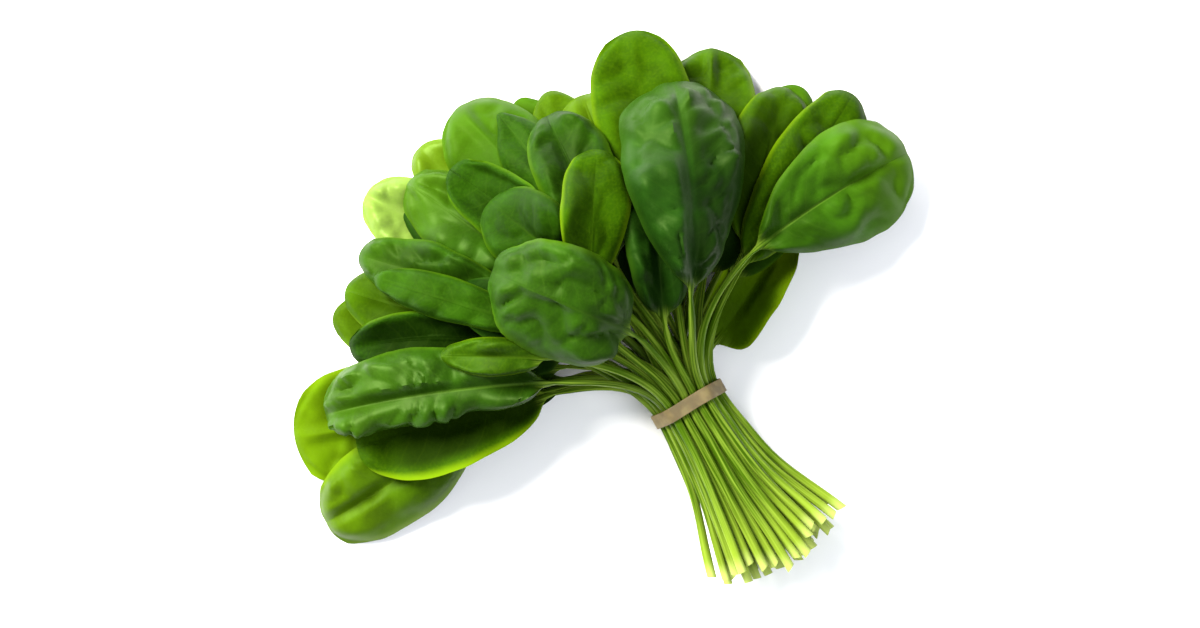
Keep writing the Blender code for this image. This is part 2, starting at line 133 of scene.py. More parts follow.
LEAVES = (
    Leaf("floor_left", "deep"),
    Leaf("floor_back_left", "deep"),
    Leaf("floor_back_right", "deep"),
    Leaf("floor_right", "mid"),
    Leaf("under_low_left", "bright", 0.75, 0.6, 2.8, -1.0, 0, 0, 2.0, 0, 0.05, 0.6, 0.2, 0.3, True),
    Leaf("low_right", "bright", 1.3, 0.5, 2.6, 2.4, 0.8, 0, 1.0, 0, 0, 1.2, 0.2, 0.5, True),
    Leaf("under_back_right", "mid"),
    Leaf("under_top", "mid"),
    Leaf("under_top_left", "mid"),
    Leaf("pale", "pale", 0.6, 1.0, 3.1, -1.0, 0, 0, 1.5, 0, 0.2, 0.1, 0.9, 0.3, True),
    Leaf("under_left", "mid"),
    Leaf("under_right", "mid", deep=0.8),
    Leaf("sliver_top", "mid", 0.7, 0.3, 0.6, 0, 0, 0, 1.0, 0, 0.3, 0.3, 0.2, 0.3, False),
    Leaf("rim_top", "mid", 0.7, 0.4, 1.0, 0.6, 0, 0, 1.5, 0, 0.3, 0.3, 0.2, 0.3, False),
    Leaf("low_corner", "bright", 0.62, 1.2, 3.0, -1.5, 0.8, 0, 2.5, 0, 0.35, 0.6, 0.4, 0.3, True),
    Leaf("low_big", "bright", 0.2, 0.2, 1.1, 1.2, 0, 0, 1.0, 0, 0, 1.0, 0.1, 1.0, True),
    Leaf("small_left", "bright", 0.5, 0.6, 2.2, 0, 0, 0, 1.5, 0, 0.3, 0.3, 0.2, 0.8, False),
    Leaf("right_back", "bright", 0.3, 1.5, 4.5, -1.5, 0, 0, 2.0, 0, 0.2, 0.5, 0.2, 0.5, True),
    Leaf("left_back", "bright", 0.75, 1.0, 2.0, 0, 0, 0, 1.5, 0, 0.3, 0.3, 0.8, 0.3, False),
    Leaf("top_small", "bright", 0.5, 0.4, 2.0, 0, 0, 0, 1.5, 0, 0.3, 0.3, 0.2, 0.3, False),
    Leaf("top_back", "bright", 0.6, 1.0, 2.0, 0, 0, 0, 1.5, 0, 0.3, 0.3, 0.4, 0.3, False),
    Leaf("round_light", "mid", 0.75, 1.2, 2.8, -2.0, 0, 3, 2.5, 0, 0.15, 0.3, 0.25, 0.3, True),
    Leaf("side_left", "bright", 0.4, 0.6, 2.4, 0, 0, 0, 1.5, 0, 0.3, 0.3, 0.2, 0.7, False),
    Leaf("fill_right", "deep"),
    Leaf("fill_left", "deep"),
    Leaf("fill_top", "deep"),
    Leaf("dark_point", "deep", 0.5, 0.3, 1.6, 0, 0.6, 0, 0.5, 0, 0.3, 0.3, 0.2, 0.3, False),
    Leaf("right_back_low", "bright", 0.35, 0.8, 2.6, -1.5, 0, 0, 2.0, 0, 0.15, 0.4, 0.05, 0.9, True),
    Leaf("point_top", "mid", 0.3, 1.0, 2.4, 0, 0.4, 0, 0.5, 0, 0.3, 0.3, 0.2, 0.3, False),
    Leaf("gray_left", "mid", 0.75, 1.8, 3.0, -0.8, 1.2, 2, 2.0, 0, 0.2, 0.3, 0.55, 0.3, True),
    Leaf("heart", "deep"),
    Leaf("arc_left", "mid", 0.2, 0.2, 1.8, -1.5, 0.4, 0, 1.5, 0, 0, 0.6, 0.1, 0.9, True),
    Leaf("streak_left", "mid", 0.5, 1.8, 3.0, -0.8, 0.6, 0, 1.5, 0, 0.4, 0.3, 0.35, 0.6, True),
    Leaf("top_bright", "bright", 0.35, 0.4, 2.5, -1.5, 0, 0, 2.5, 0, 0.2, 0.3, 0.0, 0.3, True),
    Leaf("round_mid", "mid", 0.4, 1.8, 3.2, -2.0, 1.0, -1.5, 3.5, 0, 0.1, 0.5, 0.3, 0.6, True),
    Leaf("cup_mid", "mid", 0.3, 0.5, 2.4, -1.5, 0, -1, 2.5, 0, 0.1, 0.5, 0.05, 0.5, True),
    Leaf("right_mid", "bright", 0.2, 0.6, 2.8, -1.5, 0.8, 0, 2.0, 0, 0.2, 0.4, 0.0, 0.5, True),
    Leaf("heart_right", "deep"),
    Leaf("fill_front", "deep"),
    Leaf("quilt_left", "mid", 0.6, 4.6, 2.6, -1.0, 1.0, 1.0, 1.5, 0, 0.6, 0.2, 0.6, 0.3, True),
    Leaf("low_mid", "mid", 0.25, 1.6, 3.0, -2.0, 0.8, 2, 2.0, 0, 0.3, 0.4, 0.05, 0.5, True),
    Leaf("long_left", "mid", 0.45, 0.4, 1.8, -0.6, 0, 1.5, 1.5, 0, 0.1, 0.4, 0.1, 0.3, True),
    Leaf("fold_right", "mid", 0.9, 1.6, 3.0, -0.6, 1.6, 0, 2.0, 0, 0.8, 0.3, 0.35, 0.2, True),
    Leaf("dark_mid", "deep", 0.5, 2.0, 2.4, -1.5, 0.6, 0, 2.0, 0, 0.1, 0.7, 0.3, 0.6, True),
    Leaf("bright_mid", "bright", 0.1, 0.2, 2.0, -1.5, 0.6, 0, 2.0, 0, 0.08, 0.5, 0.0, 0.4, True),
    Leaf("small_front", "bright", 0.15, 1.2, 2.2, -0.4, 0.6, 0, 1.2, 0, 0.2, 0.3, 0.35, 0.3, True),
    Leaf("round_front", "mid", 0.42, 3.2, 4.4, -2.0, 0.8, 5, 2.0, 0, 0.15, 0.45, 0.45, 0.3, True),
    Leaf("big_front", "deep", 1.0, 2.6, 4.2, -2.0, 0, 1, 3.0, 8, 0.02, 0.35, 0.42, 0.3, True),
)

# The greens of a leaf: its dull end, its fresh end, what shines through it (for the translucent
# layer, and also mixed into the colour at the tip and the rim as painted light), and its veins.
TONES = {
    "deep": ("#0a2002", "#1e430b", "#2c4d0a", "#375816"),
    "mid": ("#132f02", "#34600a", "#486c04", "#4c6c1c"),
    "bright": ("#234603", "#4c7003", "#678606", "#5c7818"),
    "pale": ("#5c7c24", "#84a444", "#8eac46", "#95aa62"),
}
TINTS = ("#5f9010", "#bcdc8c")  # of the light thrown back by a matt skin and by a waxy one
# Patterns on a leaf, as so many to each millimetre of it.
VEIN_BENDS = 0.12  # side veins waver every 8 mm
NET = 0.33  # the finest veins are 3 mm apart
CLOUDS = 0.07  # the green comes and goes over 14 mm
GRAIN = 0.9  # pebbled skin, about 1 mm
STREAKS = (1.6, 0.03, 0.0)  # on a petiole: 0.6 mm wide and 33 mm long
SIDE_VEIN_SPAN = 8.0  # millimetres from one side vein to the next, as its width is drawn


def from_hex(colour):
    """'#rrggbb' in sRGB to linear red, green, blue and alpha."""
    parts = [int(colour[i : i + 2], 16) / 255 for i in (1, 3, 5)]
    linear = [c / 12.92 if c <= 0.04045 else ((c + 0.055) / 1.055) ** 2.4 for c in parts]
    return (*linear, 1.0)


def blend(colours, share):
    """A colour between two."""
    return tuple(a + (b - a) * share for a, b in zip(*map(from_hex, colours)))


def ease(x, low, high):
    """0 below low, 1 above high and a soft step between."""
    t = np.clip((x - low) / (high - low), 0.0, 1.0)
    return t * t * (3 - 2 * t)


# ---------------------------------------------------------------- settings


class LeafSettings(bpy.types.PropertyGroup):
    """Sizes of the fine leaves."""

    thickness: bpy.props.FloatProperty(
        name="Blade thickness",
        description="Thickness of a blade between its veins",
        default=0.45 * MM, unit="LENGTH", precision=5,
    )
    vein_spacing: bpy.props.FloatProperty(
        name="Vein spacing",
        description="Distance between side veins along the midrib",
        default=9.0 * MM, unit="LENGTH", precision=4,
    )
    stalk_rows: bpy.props.FloatProperty(
        name="Petiole rows",
        description="Distance between rows of points along a petiole",
        default=4.0 * MM, unit="LENGTH", precision=4,
    )
    blade_rows: bpy.props.FloatProperty(
        name="Blade rows",
        description="Distance between rows of points along a blade in full view",
        default=1.3 * MM, unit="LENGTH", precision=5,
    )
    half_columns: bpy.props.IntProperty(
        name="Columns",
        description="Columns of points in each half of a blade in full view",
        default=20, min=8, max=32,
    )
    clearance: bpy.props.FloatProperty(
        name="Clearance",
        description="Least gap left under a blade where it lies on another",
        default=0.2 * MM, unit="LENGTH", precision=5,
    )


class BandSettings(bpy.types.PropertyGroup):
    """The rubber band."""

    thickness: bpy.props.FloatProperty(
        name="Thickness",
        description="Thickness of the strip of rubber",
        default=1.0 * MM, unit="LENGTH", precision=5,
    )


class StageSettings(bpy.types.PropertyGroup):
    """Table, light and camera."""

    height: bpy.props.FloatProperty(
        name="Camera height",
        description="Height of the camera over the bunch",
        default=1.5, unit="LENGTH",
    )
    view_width: bpy.props.FloatProperty(
        name="View width",
        description="Width of what the camera sees at the height of the leaves",
        default=0.516, unit="LENGTH",
    )
    fill: bpy.props.FloatProperty(
        name="Fill light",
        description="Strength of the even light from all round",
        default=0.68, min=0.0,
    )
    key: bpy.props.FloatProperty(
        name="Key light",
        description="Power of the large soft lamp",
        default=180.0, min=0.0, unit="POWER",
    )


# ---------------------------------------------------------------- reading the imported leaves


def merged_points(node):
    """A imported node's points with doubles merged, and for each point the set of its neighbours."""
    mesh = frame["nodes"][node].data
    co = np.empty(len(mesh.vertices) * 3)
    mesh.vertices.foreach_get("co", co)
    co = co.reshape(-1, 3)
    grid = np.round(co / (0.001 * MM)).astype(np.int64)
    _, first, same = np.unique(grid, axis=0, return_index=True, return_inverse=True)
    same = same.reshape(-1)
    near = [set() for _ in first]
    for edge in mesh.edges:
        a, b = int(same[edge.vertices[0]]), int(same[edge.vertices[1]])
        if a != b:
            near[a].add(b)
            near[b].add(a)
    return co[first], near


def packed_sections(node):
    """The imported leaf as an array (17, 10, 3) from its cut end to its tip: five points over the
    top from left to right, then five back along the underside."""
    points, near = merged_points(node)
    rings = [set(int(i) for i in np.argsort(points[:, 1])[:SECTION_POINTS])]
    seen = set(rings[0])
    while len(seen) < len(points):
        ahead = set().union(*(near[i] for i in rings[-1])) - seen
        if len(ahead) != SECTION_POINTS:
            raise RuntimeError(f"{node}: a section has {len(ahead)} points")
        rings.append(ahead)
        seen |= ahead
    # In the second section each point has two neighbours of its own section. The first point is
    # the one with three neighbours in the section ahead.
    ring, ahead = rings[1], rings[2]
    first = next(i for i in ring if len(near[i] & ahead) == 3)
    chain = [first, min(near[first] & ring)]
    while len(chain) < SECTION_POINTS:
        chain.append(next(i for i in near[chain[-1]] & ring if i not in chain[-2:]))
    forward = points[list(ahead)].mean(0) - points[list(ring)].mean(0)
    loop = points[chain] - points[chain].mean(0)
    turn = np.cross(loop, np.roll(loop, -1, axis=0)).sum(0)
    if turn @ forward < 0:
        chain = chain[:1] + chain[:0:-1]
    ordered = [None, chain]
    for ring in rings[2:]:
        ordered.append(match(ordered[-1], ring, near, onward=True))
    ordered[0] = match(ordered[1], rings[0], near, onward=False)
    return np.array([points[chain] for chain in ordered])


def match(chain, ring, near, onward):
    """Puts a section's points in the order of its neighbour's, by the edges between them."""
    half = SECTION_POINTS // 2
    wanted = []
    for j in range(SECTION_POINTS):
        links = {j}
        if onward:
            if 1 <= j <= half:
                links.add(j - 1)
            if j >= half:
                links.add((j + 1) % SECTION_POINTS)
        else:
            if j < half:
                links.add(j + 1)
            if j > half:
                links.add(j - 1)
            if j == 0:
                links.add(SECTION_POINTS - 1)
        wanted.append({chain[k] for k in links})
    chain_set = set(chain)
    by_links = {frozenset(near[i] & chain_set): i for i in ring}
    return [by_links[frozenset(links)] for links in wanted]


# ---------------------------------------------------------------- growing a leaf


def spline_rows(points, counts):
    """A smooth curve through each column of points (n, columns, 3). counts says how many rows
    each of the n - 1 spans is cut into. Returns the rows and their places along the stations."""
    spans = np.diff(points, axis=0)
    steps = np.maximum(np.linalg.norm(spans, axis=2, keepdims=True), 1e-7) ** 0.55
    speed = spans / steps
    tangents = np.empty_like(points)
    tangents[0], tangents[-1] = speed[0], speed[-1]
    tangents[1:-1] = (speed[:-1] * steps[1:] + speed[1:] * steps[:-1]) / (steps[:-1] + steps[1:])
    rows, places = [], []
    for i, count in enumerate(counts):
        for f in np.arange(count) / count:
            h = f * f * (3 - 2 * f)
            rows.append(
                (1 - h) * points[i] + h * points[i + 1]
                + (f - 2 * f * f + f**3) * tangents[i] * steps[i]
                + (f**3 - f * f) * tangents[i + 1] * steps[i]
            )
            places.append(i + f)
    rows.append(points[-1])
    places.append(float(len(points) - 1))
    return np.array(rows), np.array(places)


def across(rows, s):
    """Smooth curves across each row (n, 5, ...) at the places s (n, m), each from -1 to 1."""
    slopes = np.empty_like(rows)
    slopes[:, 1:-1] = (rows[:, 2:] - rows[:, :-2]) / 2
    slopes[:, 0] = 1.5 * (rows[:, 1] - rows[:, 0]) - 0.5 * slopes[:, 1]
    slopes[:, -1] = 1.5 * (rows[:, -1] - rows[:, -2]) - 0.5 * slopes[:, -2]
    place = np.clip((s + 1) * 2, 0, 4)
    span = np.minimum(place.astype(int), 3)
    f = place - span
    n = np.arange(len(rows))[:, None]
    if rows.ndim == 3:
        f = f[..., None]
    h = f * f * (3 - 2 * f)
    return (
        (1 - h) * rows[n, span] + h * rows[n, span + 1]
        + (f - 2 * f * f + f**3) * slopes[n, span] + (f**3 - f * f) * slopes[n, span + 1]
    )


def middle_sheet(sections, blade_thickness):
    """The leaf's middle surface: (stations, 5, 3), and the petiole's radius at each station."""
    upper = sections[:, :5]
    lower = sections[:, :4:-1]
    middle = (upper + lower) / 2
    down = lower[:, 2] - upper[:, 2]
    depth = np.linalg.norm(down, axis=1, keepdims=True)
    middle[STALK_SECTIONS:, 2] = (upper[:, 2] + down / depth * blade_thickness / 2)[STALK_SECTIONS:]
    radius = np.zeros(len(sections))
    for i in range(STALK_SECTIONS):
        centre = sections[i].mean(0)
        radius[i] = np.linalg.norm(sections[i] - centre, axis=1).mean()
        right = middle[i, 4] - middle[i, 0]
        right /= np.linalg.norm(right)
        middle[i] = centre + COLUMNS[:, None] * right * radius[i]
    radius[STALK_SECTIONS:] = np.interp(
        np.arange(STALK_SECTIONS, len(sections)),
        [STALK_SECTIONS - 1, STALK_SECTIONS + 1, len(sections) - 1],
        [radius[STALK_SECTIONS - 1], radius[STALK_SECTIONS - 1] * 0.85, 0.35 * MM],
    )
    return middle, radius


def cloud(x, y, cell, draw):
    """A smooth random height over (x, y), from -1 to 1, that changes over about one cell."""
    table = draw.uniform(-1, 1, (64, 64))
    turn = draw.uniform(0, 2 * math.pi)
    u = (x * math.cos(turn) - y * math.sin(turn)) / cell + draw.uniform(20, 40)
    v = (x * math.sin(turn) + y * math.cos(turn)) / cell + draw.uniform(20, 40)
    i, j = np.floor(u).astype(int), np.floor(v).astype(int)
    fu, fv = u - i, v - j
    fu, fv = fu * fu * (3 - 2 * fu), fv * fv * (3 - 2 * fv)
    i, j, i1, j1 = i % 64, j % 64, (i + 1) % 64, (j + 1) % 64
    near = table[i, j] * (1 - fu) + table[i1, j] * fu
    far = table[i, j1] * (1 - fu) + table[i1, j1] * fu
    return near * (1 - fv) + far * fv


def pillows(x, y, cell, draw):
    """Rounded swellings, 1 at their tops, with narrow valleys between, about one cell apart."""
    table = draw.uniform(0.1, 0.9, (32, 32, 2))
    u, v = x / cell + 40, y / cell + 40
    i, j = np.floor(u).astype(int), np.floor(v).astype(int)
    nearest = np.full(u.shape, 9.0)
    second = np.full(u.shape, 9.0)
    for di in (-1, 0, 1):
        for dj in (-1, 0, 1):
            spot = table[(i + di) % 32, (j + dj) % 32]
            away = np.hypot(i + di + spot[..., 0] - u, j + dj + spot[..., 1] - v)
            second = np.minimum(second, np.maximum(away, nearest))
            nearest = np.minimum(nearest, away)
    return np.sqrt(np.clip((second - nearest) * 1.3, 0, 1))


class FineLeaf:
    """One leaf as a grid of points: rows from its cut end to its tip, columns from its left edge
    to its right."""

    def __init__(self, leaf, settings, band_y, draw):
        self.leaf = leaf
        self.settings = settings
        sections = packed_sections(leaf.name)
        packed_thickness = np.linalg.norm(sections[-2, 0] - sections[-2, -1])
        middle, radius = middle_sheet(sections, packed_thickness)
        rows, places = spline_rows(middle, self.row_counts(middle))
        self.places = places
        base_row = int(np.argmin(np.abs(places - (STALK_SECTIONS - 1))))
        self.radius = np.interp(places, np.arange(len(radius)), radius)
        self.vary(rows, band_y, draw)
        midrib = rows[:, 2]
        run = np.concatenate([[0], np.cumsum(np.linalg.norm(np.diff(midrib, axis=0), axis=1))])
        self.along = run - run[base_row]
        self.length = self.along[-1]
        self.place_columns(rows)
        self.sheet = across(rows, self.s)
        along_way = np.gradient(rows, axis=0)
        across_way = np.gradient(rows, axis=1)
        normal = np.cross(across_way, along_way)
        normal /= np.linalg.norm(normal, axis=2, keepdims=True)
        self.normal = across(normal, self.s)
        self.normal /= np.linalg.norm(self.normal, axis=2, keepdims=True)
        self.y = np.repeat(self.along[:, None], self.x.shape[1], axis=1)
        self.find_veins()
        form, skin = self.relief(draw)
        self.sheet = self.sheet + self.normal * skin[..., None]
        self.sheet[..., 2] += form
        self.find_thickness(draw)

    def row_counts(self, middle):
        """How many rows each span between two packed sections is cut into."""
        lengths = np.linalg.norm(np.diff(middle[:, 2], axis=0), axis=1)
        blade = self.settings.blade_rows * (1.0 if self.leaf.fine else 1.7)
        counts = []
        for i, length in enumerate(lengths):
            step = self.settings.stalk_rows if i < STALK_SECTIONS - 1 else blade
            counts.append(max(1, int(round(length / step))))
        counts[STALK_SECTIONS - 1] = max(counts[STALK_SECTIONS - 1], 6)
        counts[-1] = max(counts[-1], 4)
        return counts

    def vary(self, rows, band_y, draw):
        """Away from the band the petiole swells and wanders a little, its cut is slanted, and the
        blade's edges come and go."""
        run = np.cumsum(np.linalg.norm(np.diff(rows[:, 2], axis=0, prepend=rows[:1, 2]), axis=1))
        stalk = 1 - ease(self.places, STALK_SECTIONS - 3, STALK_SECTIONS - 1)
        free = stalk * ease(np.abs(rows[:, 2, 1] - band_y), 6 * MM, 25 * MM)
        zero = np.zeros_like(run)
        offset = rows - rows[:, 2:3]
        swollen = 1 + 0.10 * free * cloud(run, zero, 22 * MM, draw)
        self.radius = self.radius * swollen
        middle = rows[:, 2:3].copy()
        middle[:, 0, 0] += 0.9 * MM * free * cloud(run, zero, 30 * MM, draw)
        blade = ease(self.places, STALK_SECTIONS - 1, STALK_SECTIONS + 1)
        edges = []
        for _ in range(2):
            wave = 0.04 * cloud(run, zero, 17 * MM, draw)
            wave += 0.02 * cloud(run, zero, 8 * MM, draw)
            edges.append(1 + blade * wave)
        share = np.stack([edges[0], edges[0], zero + 1, edges[1], edges[1]], axis=1)
        rows[:] = middle + offset * (swollen[:, None] * share)[..., None]
        forward = rows[1, 2] - rows[0, 2]
        slant = draw.uniform(-0.7, 0.7) * self.radius[0]
        rows[0] += forward / np.linalg.norm(forward) * (COLUMNS * slant)[:, None]

    def place_columns(self, rows):
        """Columns lie close over the midrib and evenly on the blade. x is how far each one is
        from the midrib and s that distance as a share of the half blade's width."""
        count = self.settings.half_columns
        if not self.leaf.fine:
            count = int(count * 0.6)
        inner = np.sin(np.linspace(0, math.pi / 2, RIB_COLUMNS + 1))
        outer = np.linspace(0, 1, count - RIB_COLUMNS + 1)[1:]
        halves = []
        for side in (0, 4):
            inward = 1 if side == 0 else 3
            width = np.linalg.norm(rows[:, side] - rows[:, inward], axis=1)
            width = width + np.linalg.norm(rows[:, inward] - rows[:, 2], axis=1)
            width = np.maximum(width, self.radius)[:, None]
            rib = self.radius[:, None] * inner[None, :]
            wing = self.radius[:, None] + (width - self.radius[:, None]) * outer[None, :]
            x = np.concatenate([rib, wing], axis=1)
            halves.append((x, x / width))
        (x_left, s_left), (x_right, s_right) = halves
        self.x = np.concatenate([-x_left[:, :0:-1], x_right], axis=1)
        self.s = np.concatenate([-s_left[:, :0:-1], s_right], axis=1)
        self.width = np.stack([x_left[:, -1], x_right[:, -1]], axis=1)

    def find_veins(self):
        """vein is a whole number on every side vein: they leave the midrib by turns on the left
        and the right, and bend towards the tip."""
        spacing = self.settings.vein_spacing * (0.7 + 0.3 * min(1.2, self.length / (90 * MM)))
        out = np.abs(self.x)
        reach = np.maximum(np.abs(self.width).max(), 1e-4)
        slant = 0.45 * out + 0.55 * out**2 / reach
        self.vein = (self.y - slant) / spacing + 0.5 * (self.x > 0)

    def relief(self, draw):
        """How far the blade stands off its plain form, as two heights. The first is for its broad
        form: it is puffed up, crested, rolled at its edge and folded along the midrib. The second
        is for its skin, which buckles and swells between the veins."""
        leaf = self.leaf
        out = np.abs(self.x)
        near_tip = np.clip(1 - (self.length - self.y) / np.abs(self.width).max(), 0, 1)
        rim = np.minimum((np.abs(self.s) ** 3 + near_tip**3) ** (1 / 3), 1)
        start = ease(self.y, 0.0, 9 * MM)
        form = leaf.rim * rim**4 + leaf.dome * (1 - rim**2) * ease(self.y, 0, 0.3 * self.length)
        form += leaf.crest * 4 * rim**2 * (1 - rim**2)
        form -= leaf.crease * np.exp(-out / (2.4 * MM))
        fold_at = 0.1 + 0.3 * (self.y / self.length) ** 2
        form += leaf.fold * ease(fold_at - self.s, -0.1, 0.3) * (1 - rim**3) * start
        warp = 5 * MM * cloud(self.x, self.y, 14 * MM, draw)
        lean = self.y - 0.6 * out
        swell = pillows(self.x * 0.6 + warp, lean + warp, 11 * MM, draw)
        swell += 0.2 * pillows(self.x + warp, lean, 5 * MM, draw)
        swell *= 0.25 + 0.75 * ease(cloud(self.x, self.y, 20 * MM, draw), -0.5, 0.5)
        broad = cloud(self.x, self.y, 30 * MM, draw)
        folds = np.abs(cloud(self.x, self.y, 13 * MM, draw)) - 0.3
        skin = leaf.quilt * swell * ease(out, 0.6 * MM, 5 * MM)
        skin += leaf.wrinkle * (1.2 * broad + 1.3 * folds) * ease(out, 0, 5 * MM)
        skin *= 1 - 0.75 * ease(rim, 0.65, 1.0)
        skin += leaf.wrinkle * 0.3 * cloud(self.y, self.s * 6 * MM, 12 * MM, draw) * rim**4
        return form * MM * start, skin * MM * start

    def find_thickness(self, draw):
        """How far the upper and lower faces stand off the middle sheet. The petiole is a little
        flattened, with low ridges along it."""
        radius = self.radius[:, None]
        bump = np.sqrt(np.clip(1 - (self.x / radius) ** 2, 0, 1))
        ridges = draw.uniform(0.86, 1.0, (2, self.x.shape[1]))
        blade = self.settings.thickness / 2 * np.sqrt(np.clip(1 - np.abs(self.s) ** 8, 0, 1))
        in_blade = ease(self.y, 0.0, 10 * MM)
        groove = 0.22 * ease(self.y, -30 * MM, 0) * np.exp(-((self.x / radius / 0.45) ** 2))
        over = bump * radius * ridges[0] * (1 - in_blade) * (1 - groove) + blade * (self.y > 0)
        under = bump * radius * ridges[1] * (1 - 0.15 * in_blade) + blade * (self.y > 0)
        taper = 1 - ease(self.places, self.places[-1] - 0.6, self.places[-1])[:, None]
        self.over = over * taper
        self.under = under * taper

    def top(self):
        """The upper face."""
        return self.sheet + self.normal * self.over[..., None]

    def bottom(self):
        """The lower face."""
        return self.sheet - self.normal * self.under[..., None]

    def lift(self, amount):
        """Raises the leaf, all of it or point by point."""
        self.sheet[..., 2] += amount


# ---------------------------------------------------------------- laying the leaves down


def denser(grid):
    """A grid of points with more rows and columns between its own, in straight lines."""
    for axis in (0, 1):
        n = grid.shape[axis]
        at = np.linspace(0, n - 1, (n - 1) * DENSER + 1)
        low = np.minimum(at.astype(int), n - 2)
        f = (at - low).reshape([-1 if a == axis else 1 for a in range(grid.ndim)])
        grid = np.take(grid, low, axis) * (1 - f) + np.take(grid, low + 1, axis) * f
    return grid


def widen(grid, rows, columns):
    """The greatest value within so many rows and columns of each place."""
    for axis, reach in ((0, rows), (1, columns)):
        best = grid.copy()
        for step in range(1, reach + 1):
            ahead = np.roll(grid, step, axis)
            back = np.roll(grid, -step, axis)
            if axis == 0:
                ahead[:step], back[-step:] = 0, 0
            else:
                ahead[:, :step], back[:, -step:] = 0, 0
            best = np.maximum(best, np.maximum(ahead, back))
        grid = best
    return grid


def soften(grid, rows, columns):
    """The average within so many rows and columns of each place."""
    for axis, reach in ((0, rows), (1, columns)):
        pad = [(reach, reach) if a == axis else (0, 0) for a in range(2)]
        padded = np.pad(grid, pad, mode="edge")
        total = np.zeros_like(grid)
        for step in range(2 * reach + 1):
            total += np.take(padded, np.arange(step, step + grid.shape[axis]), axis)
        grid = total / (2 * reach + 1)
    return grid


class Heap:
    """The top of what is laid down so far, cell by cell, seen from above."""

    CELL = 0.7 * MM
    MARGIN = 12 * MM
    CLOSE_ENOUGH = 0.02 * MM

    def __init__(self, low, high):
        self.low = np.array([low[0], low[1]]) - self.MARGIN
        size = np.array([high[0], high[1]]) + self.MARGIN - self.low
        self.top = np.zeros(np.ceil(size / self.CELL).astype(int) + 2)

    def cells(self, points):
        """The cells that points lie in."""
        at = ((points[..., :2] - self.low) / self.CELL).astype(int)
        at = np.clip(at, 0, np.array(self.top.shape) - 1)
        return at[..., 0], at[..., 1]

    def lay(self, points):
        """Adds a leaf's upper face, spread by one cell so that no hole is left between points."""
        i, j = self.cells(points)
        laid = np.full(self.top.shape, -1.0)
        np.maximum.at(laid, (i, j), points[..., 2])
        for di, dj in ((1, 0), (-1, 0), (0, 1), (0, -1)):
            laid = np.maximum(laid, np.roll(laid, (di, dj), axis=(0, 1)))
        self.top = np.maximum(self.top, laid)

    def rest(self, fine, free_from, clearance):
        """Raises a blade, bending it gently, until it lies clear of the heap. The petiole
        follows only next to the blade, and stays where it is up to free_from."""
        for _ in range(3):
            under = denser(fine.bottom())
            i, j = self.cells(under)
            short = self.top[i, j] + clearance - under[..., 2]
            short[denser(fine.y) < 0] = 0
            short = np.maximum(short, 0)
            rows, columns = fine.sheet.shape[:2]
            padded = np.zeros((rows * DENSER, columns * DENSER))
            padded[1 : short.shape[0] + 1, 1 : short.shape[1] + 1] = short
            need = padded.reshape(rows, DENSER, columns, DENSER).max(axis=(1, 3))
            if need.max() < self.CLOSE_ENOUGH:
                break
            span = 4 if fine.leaf.fine else 3
            raised = soften(widen(need, span, span), span, span)
            raised *= ease(fine.sheet[..., 1], free_from - 2 * MM, free_from + 3 * MM)
            fine.lift(raised)
        self.lay(denser(fine.top()))


# ---------------------------------------------------------------- making the meshes


def deselect():
    """Leaves nothing selected, so that the next step acts on its own piece."""
    bpy.ops.object.select_all(action="DESELECT")


def plant(fine):
    """Wraps a flat grid round the leaf's upper and lower faces and closes it."""
    top, bottom = fine.top(), fine.bottom()
    rows, columns = top.shape[:2]
    ring = np.concatenate([top, bottom[:, -2:0:-1], top[:, :1]], axis=1)
    order = np.concatenate([np.arange(columns), np.arange(columns - 2, 0, -1), [0]])
    around = ring.shape[1]
    deselect()
    bpy.ops.mesh.primitive_grid_add(
        x_subdivisions=around - 1, y_subdivisions=rows - 1, size=1, calc_uvs=True
    )
    leaf = bpy.context.object
    leaf.name = fine.leaf.name + "_leaf"
    leaf.data.name = leaf.name
    mesh = leaf.data
    mesh.vertices.foreach_set("co", ring.reshape(-1))
    place = np.stack([fine.x / MM, fine.y / MM, np.abs(fine.s)], axis=2)[:, order]
    add_attribute(mesh, "place", "FLOAT_VECTOR", "vector", place)
    add_attribute(mesh, "vein", "FLOAT", "value", fine.vein[:, order])
    from_cut = np.repeat((fine.along - fine.along[0])[:, None] / MM, around, axis=1)
    add_attribute(mesh, "from_cut", "FLOAT", "value", from_cut)
    bpy.ops.object.mode_set(mode="EDIT")
    bpy.ops.mesh.select_all(action="SELECT")
    bpy.ops.mesh.remove_doubles(threshold=MERGE)
    bpy.ops.mesh.select_all(action="DESELECT")
    bpy.ops.mesh.select_mode(type="EDGE")
    bpy.ops.mesh.select_non_manifold()
    bpy.ops.mesh.edge_face_add()
    bpy.ops.mesh.select_mode(type="VERT")
    bpy.ops.mesh.select_all(action="SELECT")
    bpy.ops.mesh.normals_make_consistent(inside=False)
    bpy.ops.object.mode_set(mode="OBJECT")
    bpy.ops.object.shade_smooth_by_angle(angle=math.radians(50))
    return leaf


def add_attribute(mesh, name, kind, field, values):
    """One value for each point of a mesh, for its finish to read."""
    attribute = mesh.attributes.new(name, kind, "POINT")
    attribute.data.foreach_set(field, np.ascontiguousarray(values, dtype=np.float32).reshape(-1))


# ---------------------------------------------------------------- finishes


SMOOTH = {"interpolation_type": "SMOOTHSTEP"}
COLOURS = {"data_type": "RGBA", "output": 2}


